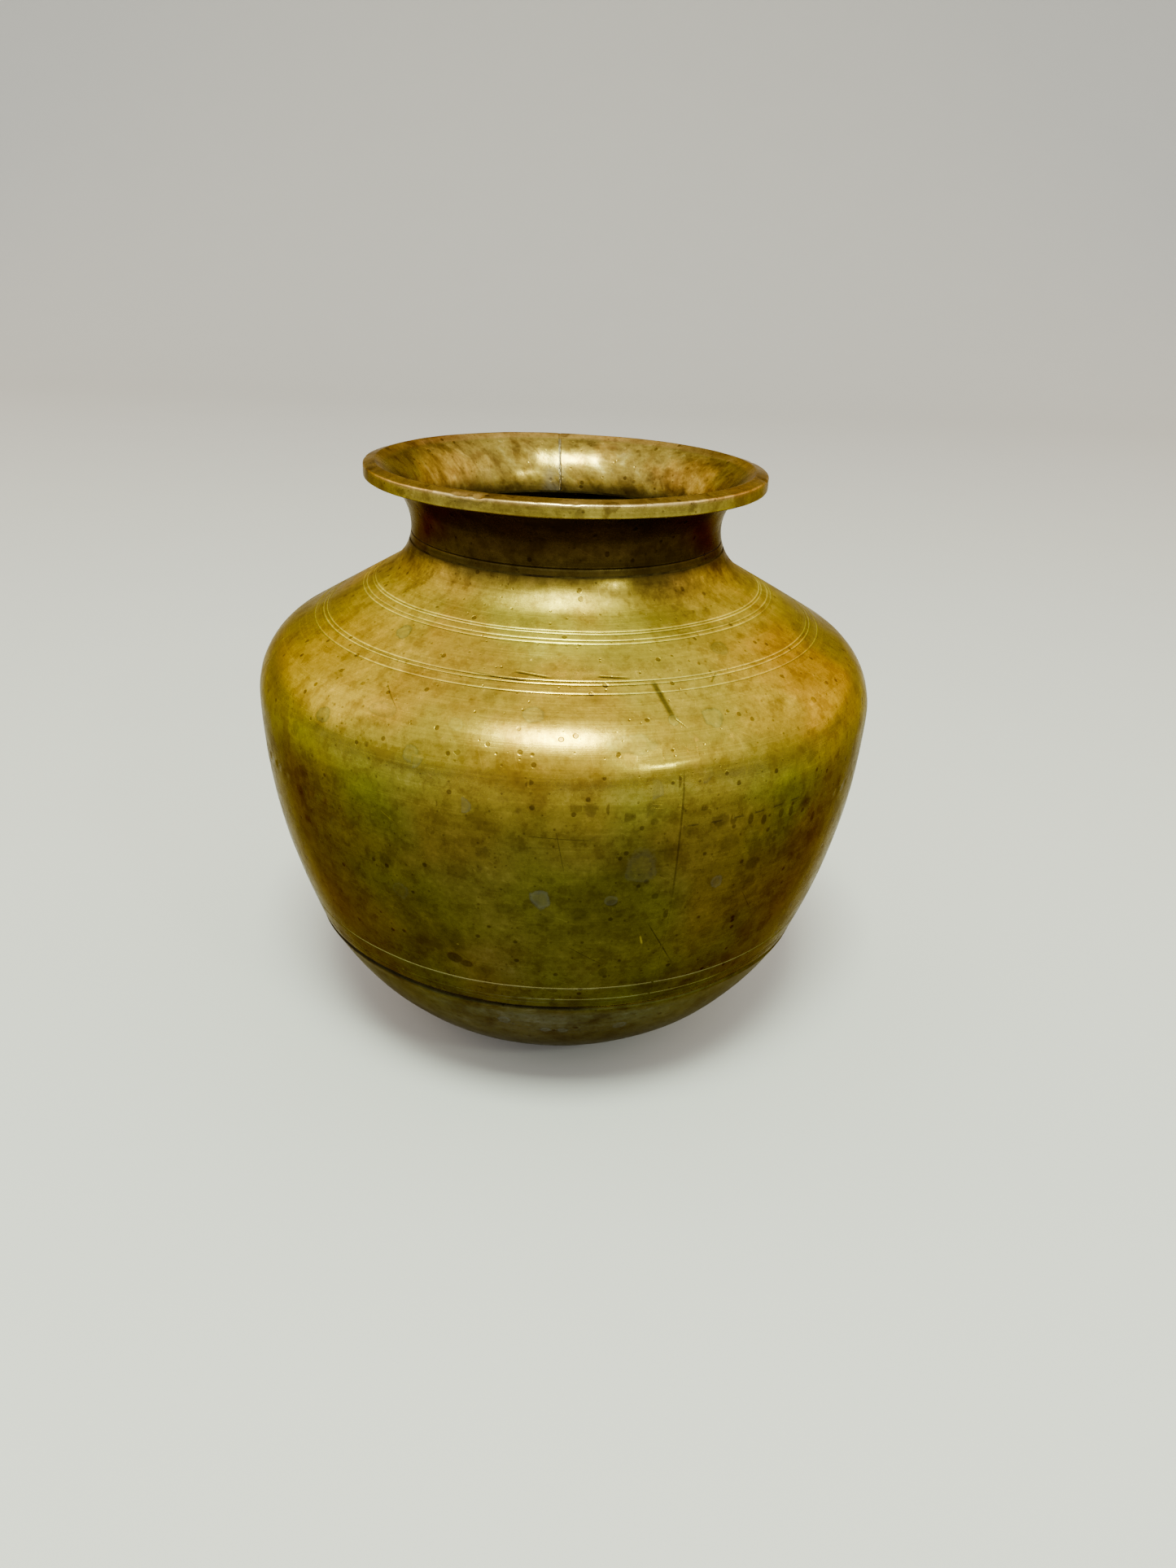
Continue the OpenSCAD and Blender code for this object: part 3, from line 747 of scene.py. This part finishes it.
dome_way = np.concatenate([
    stretch_to(dome_rows, turn_end, dome_edge, tooth_low + BRAZE),
    np.broadcast_to(np.linspace(neck_joint - BRAZE, neck_lap - BRAZE, 4)[:, None], (4, len(dome_az))),
    stretch_to(dome_inner, turn_end, dome_edge, tooth_low + BRAZE),
])
dome_depth = np.concatenate([
    np.zeros(len(dome_rows)), np.full(4, HALF_IN), np.full(len(dome_inner), WALL)
])[:, None]


def line_dirt_and_painted_light(around, way, depth):
    """The engraved lines are painted bright in the cut as a glint, and a thread of painted shadow runs along
    the
    upper side. Both are patchy: the glint is weaker where a line is rubbed away, and the thread holds dirt
    in places."""
    tone = 0
    for line in outer_lines + inner_lines:
        wear = np.cos(np.radians(around * 2 + line * 40)) * np.cos(np.radians(around * 5 + line * 90))
        glint = 0.72 + 0.28 * wear
        filled = np.cos(np.radians(around * 3 + line * 170)) * np.cos(np.radians(around + line * 55))
        dirty = 0.8 * np.clip(filled, 0, 1)
        # painted glint in each cut, then painted shadow with patches of dirt along its upper side
        tone = tone - glint * np.exp(-((way - line) / 0.17) ** 2)
        tone = tone + (0.10 + dirty) * np.exp(-((way - line - 0.30) / 0.12) ** 2)
    joint = 0.5 * np.exp(-((way - neck_joint + BRAZE) / 0.2) ** 2)
    rim = 0.6 * np.exp(-((way - neck_joint + BRAZE + 0.5) / 0.2) ** 2)
    return np.clip(tone + joint - rim, -1, 1) * (depth < 0.1)


shoulder = turned("shoulder_dome", dome_way, dome_depth, dome_az, grime=line_dirt_and_painted_light,
                  extra=engraved(outer_lines + inner_lines, 0.5, 0.07))
SHOULDER_STAINS = [
    (-131.8, 107.4, 4, 3.5, 1.0), (-95.2, 100, 4.6, 3.6, 0.9), (-79.2, 96.2, 9, 3.6, 0.7),
    (-63.5, 99.1, 4.5, 4, 1.0), (-114.5, 92.1, 3.5, 3.5, 0.9), (-134, 93.7, 4, 3.5, 0.9),
    (-108, 97.7, 3, 2.5, 0.6), (-70.9, 99.3, 2.4, 2.2, 1.0), (-122, 97.5, 6, 2.5, 0.5),
    (-52, 107, 4, 3, 0.6), (-97, 108, 4, 3, 0.4),
]
SHOULDER_KNOCKS = [
    (-94.8, 89.8, 1.6, 1.4, 0.9), (-106.5, 93.6, 1.2, 1.2, 0.7), (-122.8, 91.5, 1.4, 1.3, 0.7),
    (-39.2, 97.5, 1.6, 1.6, 0.7), (-71.2, 102.6, 1.0, 1.6, 0.5), (-60, 99.5, 0.8, 0.8, 0.9),
    (-102, 95.5, 1, 1, 0.7),
]
SHOULDER_SCRATCHES = [
    ((-72.4, 104.6), (-70.6, 98.6), 1.9, 0.20), ((-70.9, 99.6), (-69.0, 97.9), 0.4, 0.4),
    ((-110, 104.4), (-96, 104.0), 0.35, 0.5), ((-101, 105.1), (-92, 104.6), 0.4, 0.5),
    ((-84, 105.0), (-76, 104.6), 0.4, 0.45), ((-125, 101), (-119, 98), 0.3, 0.55),
    ((-60, 103), (-57, 104.3), 0.4, 0.5),
]
f, colour, rough, *look = old_brass("shoulder_brass", WALL_TONES, (0.085, 0.050, 0.012), 0.27,
                                    SHOULDER_STAINS, SHOULDER_KNOCKS, SHOULDER_SCRATCHES)
# Hands and cloths don't reach the angle under the neck, so its gloss is duller.
under_neck = f.z.above(0.104, 0.110) * f.z.above(0.118, 0.115)
shoulder.data.materials.append(f.finish_with(colour, rough + 0.16 * under_neck, *look))
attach(shoulder, "root")
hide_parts("shoulder_shell")

# ---- Neck joint ------------------------------------------------------------------------------------
# The ring of brazing metal that was run into the lap between shoulder and neck. It lies in the angle
# under the neck, where polishing never reached it, and is dark.


def braze_finish(name, metal, dark, dull):
    """Bare brazing metal: darker and greyer than the sheet, with a grainy, slightly porous skin."""
    f = Finish(name)
    grain = f.noise(0.5, 4.0, 0.7)
    patches = f.noise(4, 4.0, 0.6)
    colour = f.mix(patches.above(0.35, 0.7), metal, dark)
    colour = f.mix(grain.above(0.5, 0.8) * 0.6, colour, (0.4, 0.4, 0.4), "MULTIPLY")
    return f.finish_with(colour, dull + 0.2 * grain, [(grain, 0.05), (patches, 0.05)])


joint_way, joint_depth = column(
    ([neck_joint - BRAZE, neck_joint - BRAZE / 2, neck_joint], 0.12),
    (np.linspace(neck_joint, neck_lap, 6), HALF_OUT),
    (neck_lap, WALL), (neck_lap - BRAZE, WALL),
    (np.linspace(neck_lap - BRAZE, neck_joint - BRAZE, 6), HALF_IN),
)
neck_ring = turned("neck_joint_ring", joint_way, joint_depth, AROUND)
neck_ring.data.materials.append(
    braze_finish("neck_joint_metal", (0.060, 0.042, 0.008), (0.022, 0.014, 0.004), 0.42))
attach(neck_ring, "root")
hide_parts("neck_joint_braze")

# ---- Neck and lip ----------------------------------------------------------------------------------
# A strip wrapped into a ring, drawn in to a waist and turned out above into a thick lip, which was
# trimmed on the lathe. The inside keeps the slanting marks of the hammer.
NECK_LINE_RISE = 1.5
NECK_SEAM_AZ = 93.0
NECK_SEAM_W = 0.8
neck_line = neck_joint + NECK_LINE_RISE
neck_half = math.degrees(NECK_SEAM_W / 2 / (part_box("neck_collar")[1].x / MM))
collar_az = np.linspace(NECK_SEAM_AZ + neck_half, NECK_SEAM_AZ + 360 - neck_half, 481)
lip_start, lip_end = STARTS["lip_root"], walked[-1] - 0.01
collar_way, collar_depth = column(
    (spaced(neck_joint, lip_start - 0.3, 0.7, [neck_line], 0.4), 0),
    (np.linspace(lip_start, STARTS["lip_under"], 4), 0),
    (np.linspace(STARTS["lip_under"] + 0.5, STARTS["lip_low_edge"] - 0.3, 6), 0),
    (np.linspace(STARTS["lip_low_edge"], STARTS["lip_face"], 5), 0),
    (np.linspace(STARTS["lip_face"] + 0.4, STARTS["lip_high_edge"] - 0.4, 5), 0),
    (np.linspace(STARTS["lip_high_edge"], STARTS["lip_top"], 5), 0),
    (np.linspace(STARTS["lip_top"] + 0.3, STARTS["lip_inner_edge"] - 0.2, 6), 0),
    (np.linspace(STARTS["lip_inner_edge"], lip_end, 4), 0),
    (spaced(neck_lap, lip_start - 1, 0.7)[::-1], WALL),
    (np.linspace(neck_lap - 0.01, neck_joint, 5), HALF_OUT),
)


def lip_marks(around, way, depth):
    """The waist's line, and the lip's knocks: small hollows along its outer top edge."""
    cut = engraved([neck_line], 0.4, 0.15)(around, way, depth)
    edge = np.exp(-((way - STARTS["lip_top"]) / 0.9) ** 2) * (depth < 0.1)
    rng = np.random.default_rng(12)
    for centre, width, deep in [(-118, 1.6, 0.35), (-115.5, 1.0, 0.25), (-112, 1.3, 0.3)]:
        cut = cut - deep * edge * np.exp(-((((around - centre + 180) % 360 - 180) / width) ** 2))
    for centre in rng.uniform(-180, 180, 26):
        width, deep = rng.uniform(0.5, 1.6), rng.uniform(0.04, 0.13)
        cut = cut - deep * edge * np.exp(-((((around - centre + 180) % 360 - 180) / width) ** 2))
    inside = depth > WALL / 2
    x, y = 36 * np.cos(np.radians(around)), 36 * np.sin(np.radians(around))
    strokes = waves(x * 1.0, y * 1.0, way * 0.8, 5, 30, 9)
    return cut + 0.03 * strokes * inside


def collar_dirt_and_painted_light(around, way, depth):
    """The waist's line darkened with a bright edge below it, painted shade in the angle under the lip, dirt
    in the lower edge, and a painted highlight, partly rubbed metal, along the top of the lip, strongest at
    the front."""
    waist = 0.9 * np.exp(-((way - neck_line) / 0.17) ** 2)
    waist = waist - 0.6 * np.exp(-((way - neck_line + 0.28) / 0.12) ** 2)
    # painted shade in the angle under the lip, and dirt in the joint at the lower edge
    root = 0.5 * np.exp(-((way - lip_start) / 0.8) ** 2) + 0.4 * np.exp(-((way - neck_joint) / 0.2) ** 2)
    # a painted highlight along the top of the lip, partly rubbed metal, strongest at the front
    front = 0.3 + 0.7 * window(around, -115, -68, 22)
    lip_edge = front * np.exp(-((way - STARTS["lip_top"] + 0.3) / 0.4) ** 2)
    return np.clip(waist + root - lip_edge, -1, 1) * (depth < 0.1)


collar = turned("neck_and_lip", collar_way, collar_depth, collar_az, closed=False, extra=lip_marks,
                grime=collar_dirt_and_painted_light)
# The neck's tones by height. The dark brown of the waist is patina and also painted shade under the lip; the
# lighter step at 132 mm on the lip's underside paints the light that the shoulder throws up into it.
NECK_TONES = [
    (118, (0.095, 0.064, 0.009)), (119.8, (0.065, 0.043, 0.006)), (121.3, (0.045, 0.027, 0.004)),
    (124, (0.030, 0.016, 0.003)), (130, (0.027, 0.014, 0.002)), (132.0, (0.080, 0.050, 0.008)),
    (132.7, (0.220, 0.165, 0.025)), (134.6, (0.270, 0.200, 0.034)), (135.2, (0.460, 0.290, 0.070)),
    (137, (0.460, 0.270, 0.065)),
]
f, colour, rough, *look = old_brass("neck_brass", NECK_TONES, (0.375, 0.265, 0.046), 0.27, drift=0.35)
lip_spots, _ = f.cells(4.5, 0.38, 0.35, (f.noise(2) - 0.5) * 0.9)
lip_spots = lip_spots * f.z.above(0.1322, 0.1328) * (1 - f.inside)
colour = f.mix(lip_spots * 0.7, colour, (0.45, 0.40, 0.38), "MULTIPLY")
# Inside, browns lie in slanting clouds between the hammer's strokes, greyer about the foot of the seam.
strokes = f.node("ShaderNodeVectorRotate", {"rotation_type": "EULER_XYZ"},
                 {"Vector": f.place, "Rotation": (0.2, 0.75, 0.1)})
slant = f.noise(3.2, 4.0, 0.62, f.vector("MULTIPLY", strokes, (1, 1, 0.3)))
brown = f.noise(9, 4.0, 0.6)
colour = f.mix(slant.above(0.47, 0.66) * f.inside * 0.80, colour, (0.46, 0.40, 0.34), "MULTIPLY")
colour = f.mix(slant.above(0.46, 0.32) * f.inside * 0.60, colour, (1.5, 1.7, 2.4), "MULTIPLY")
colour = f.mix(brown.above(0.48, 0.66) * f.inside * 0.70, colour, (0.56, 0.44, 0.34), "MULTIPLY")
# The inside darkens towards the bottom of the neck: painted shade in the throat. Its gloss is duller there
# too.
foot = f.z.above(0.1285, 0.1235) * f.inside
colour = f.mix(foot * 0.9, colour, (0.14, 0.11, 0.09), "MULTIPLY")
by_seam = (f.spot(95.5, 126, 6.5, 16, WALL) + (brown - 0.5)).above(1.15, 0.3) * f.inside
colour = f.mix(by_seam * slant.above(0.62, 0.42) * 0.5, colour, (0.20, 0.165, 0.10))
look[0].append((slant, 0.02))
collar.data.materials.append(f.finish_with(colour, rough + 0.3 * foot, *look))
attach(collar, "root")
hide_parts("neck_collar")

# ---- Neck seam -------------------------------------------------------------------------------------
# The seam that closes the neck strip, at the back. Outside it is filed flush; inside it was left as a
# grainy bead beside a dark line.
BEAD = 0.35
bead_az = NECK_SEAM_AZ + np.linspace(-neck_half, neck_half, 9)
bead_rows = np.linspace(lip_start - 1, neck_lap, 40)
seam_runs = column(
    (np.linspace(neck_joint, lip_start - 0.3, 20), 0.04),
    (np.linspace(lip_start, lip_end, 40), 0.06),
    (bead_rows, WALL),
    (np.linspace(neck_lap - 0.01, neck_joint, 4), HALF_OUT),
)


def bead_swell(around, way, depth):
    """Inside, the metal stands in a bead on one side of the seam and sinks to a line on the other."""
    inside = (depth > WALL * 0.9) & (way > neck_lap + 0.5)
    side = (around - NECK_SEAM_AZ) / neck_half
    grains = 0.7 + 0.3 * np.cos(way * 7.3) * np.cos(way * 3.1 + 1)
    return -BEAD * inside * grains * np.where(side < 0.3, np.cos(side * 1.6), -0.6)


neck_seam = turned("neck_seam_bead", *seam_runs, bead_az, closed=False, extra=bead_swell)
f, colour, rough, heights, metallic = old_brass("neck_seam_metal", NECK_TONES, (0.300, 0.240, 0.120), 0.32,
                                                drift=0.35)
bead_grain = f.noise(0.5, 4.0, 0.7)
colour = f.mix(bead_grain.above(0.48, 0.62) * 0.6 * f.inside, colour, (0.30, 0.26, 0.22), "MULTIPLY")
heights.append((bead_grain, 0.08))
neck_seam.data.materials.append(f.finish_with(colour, rough, heights, metallic))
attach(neck_seam, "root")
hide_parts("neck_seam_braze")

# ---- Floor, light and camera -----------------------------------------------------------------------
# A plain pale sweep of matt paper, which is no part of the pot: a floor that curves up into a backdrop
# well behind it. It is in metres.
SWEEP_SIZE, SWEEP_BACK, SWEEP_R = 3.0, 1.2, 0.8
quarter = np.linspace(0, math.pi / 2, 24)
sweep_y = np.concatenate([[-SWEEP_SIZE], SWEEP_BACK + SWEEP_R * np.sin(quarter), [SWEEP_BACK + SWEEP_R]])
sweep_z = np.concatenate([[0.0], SWEEP_R - SWEEP_R * np.cos(quarter), [SWEEP_SIZE]])
sweep_x = np.array([-SWEEP_SIZE, SWEEP_SIZE])
sides = np.broadcast_arrays(sweep_x, sweep_y[:, None], sweep_z[:, None])
points = np.stack(sides, -1).reshape(-1, 3)
order = np.arange(len(points)).reshape(-1, 2)
quads = np.stack([order[:-1, 0], order[:-1, 1], order[1:, 1], order[1:, 0]], -1)
sweep_mesh = bpy.data.meshes.new("studio_sweep")
sweep_mesh.from_pydata(points.tolist(), [], quads.tolist())
sweep_mesh.shade_smooth()
sweep = bpy.data.objects.new("studio_sweep", sweep_mesh)
bpy.context.scene.collection.objects.link(sweep)
paper = Finish("pale_paper", metallic=0.0)
tone = paper.mix(paper.noise(60, 3.0) * 0.5, (0.56, 0.55, 0.53), (0.53, 0.52, 0.50))
sweep.data.materials.append(paper.finish_with(tone, 0.75 + 0.1 * paper.noise(5), [(paper.noise(1.0), 0.02)]))

# The room's soft light comes from its white ceiling and falls off towards the floor. A soft box above
# the front makes the long highlight on the shoulder, a small lamp at the right a second one, and two
# wide warm boxes light the shoulder's flanks from behind.
world = bpy.data.worlds.new("studio")
bpy.context.scene.world = world
world.use_nodes = True
backdrop = world.node_tree.nodes["Background"]
aim = world.node_tree.nodes.new("ShaderNodeTexCoord")
split = world.node_tree.nodes.new("ShaderNodeSeparateXYZ")
glow = world.node_tree.nodes.new("ShaderNodeMapRange")
glow.interpolation_type = "SMOOTHSTEP"
for socket, value in zip(glow.inputs[1:5], (-0.10, 0.40, 0.45, 1.25)):
    socket.default_value = value
world.node_tree.links.new(aim.outputs["Generated"], split.inputs[0])
world.node_tree.links.new(split.outputs[2], glow.inputs[0])
world.node_tree.links.new(glow.outputs[0], backdrop.inputs["Strength"])
backdrop.inputs["Color"].default_value = (1.0, 0.98, 0.95, 1)


def soft_box(name, toward, distance, width, depth, watts, tint=(0.84, 1.0, 0.80)):
    """A rectangular lamp that hangs in a direction from the pot's shoulder and faces it."""
    lamp = bpy.data.lights.new(name, "AREA")
    lamp.shape = "RECTANGLE"
    lamp.size, lamp.size_y = width, depth
    lamp.energy = watts
    lamp.color = tint
    aim = Vector(toward).normalized()
    holder = bpy.data.objects.new(name, lamp)
    holder.location = Vector((0, 0, 0.09)) + aim * distance
    holder.rotation_euler = aim.to_track_quat("Z", "Y").to_euler()
    bpy.context.scene.collection.objects.link(holder)
    return holder


soft_box("front_soft_box", (-0.03, -0.46, 0.88), 1.0, 0.29, 0.30, 23)
soft_box("side_lamp", (0.48, -0.70, 0.53), 1.0, 0.10, 0.07, 1.6)
soft_box("left_wash", (-0.75, 0.35, 0.45), 1.5, 1.6, 1.2, 5.5, (1.0, 0.70, 0.34))
soft_box("right_wash", (0.75, 0.35, 0.45), 1.5, 1.6, 1.2, 5.5, (1.0, 0.70, 0.34))

# The camera stands close, above the front, looking down on the shoulder with a wide lens and a small
# tilt to one side.
CAMERA_AT = Vector((0.0, -0.2645, 0.1797))
PITCH, YAW, ROLL = math.radians(24.68), math.radians(1.40), math.radians(2.48)
forward = Vector((math.sin(YAW) * math.cos(PITCH), math.cos(YAW) * math.cos(PITCH), -math.sin(PITCH)))
level_right = Vector((math.cos(YAW), -math.sin(YAW), 0))
level_up = level_right.cross(forward)
right = level_right * math.cos(ROLL) + level_up * math.sin(ROLL)
up = level_up * math.cos(ROLL) - level_right * math.sin(ROLL)
lens = bpy.data.cameras.new("close_camera")
lens.sensor_width = 36
lens.lens = 27.03
lens.clip_start = 0.01
camera = bpy.data.objects.new("close_camera", lens)
camera.matrix_world = Matrix.Translation(CAMERA_AT) @ Matrix((right, up, -forward)).transposed().to_4x4()
bpy.context.scene.collection.objects.link(camera)
bpy.context.scene.camera = camera
